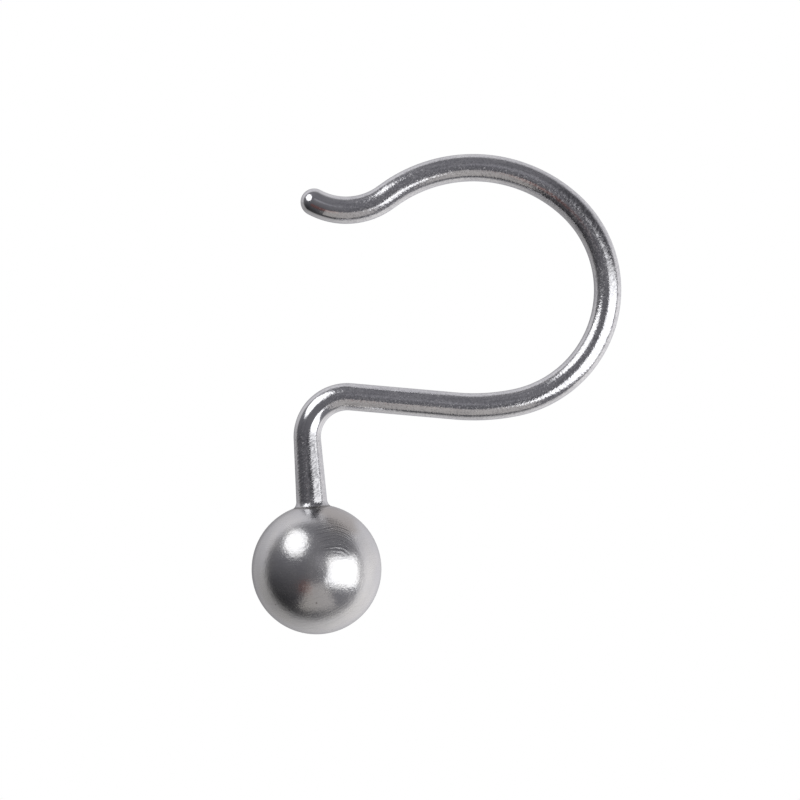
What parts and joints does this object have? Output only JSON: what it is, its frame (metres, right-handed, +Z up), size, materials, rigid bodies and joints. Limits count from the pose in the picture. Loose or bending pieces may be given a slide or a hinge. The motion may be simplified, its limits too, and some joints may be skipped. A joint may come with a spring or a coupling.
{
  "type": "curtain hook",
  "caption": "Open wire curtain hook with an upturned tip, a wide loop that hangs over a curtain rod, and a short leg that ends in a solid ornamental ball.",
  "frame": {"origin": "rod seat: the highest point of the inside of the crown, where the curtain rod bears", "axes": "+Z up, as the hook hangs; +Y along the rod, across the wire's plane; +X from the mouth to the back of the loop"},
  "size_m": [0.0569, 0.02, 0.074],
  "materials": {
    "wire_steel": "tumbled bright stainless wire, with a fine grain",
    "ball_steel": "satin polished stainless, with fine arcs from the polishing"
  },
  "bodies": {
    "root": {"hook_wire": "wire_steel", "ball": "ball_steel"}
  },
  "joints": []
}
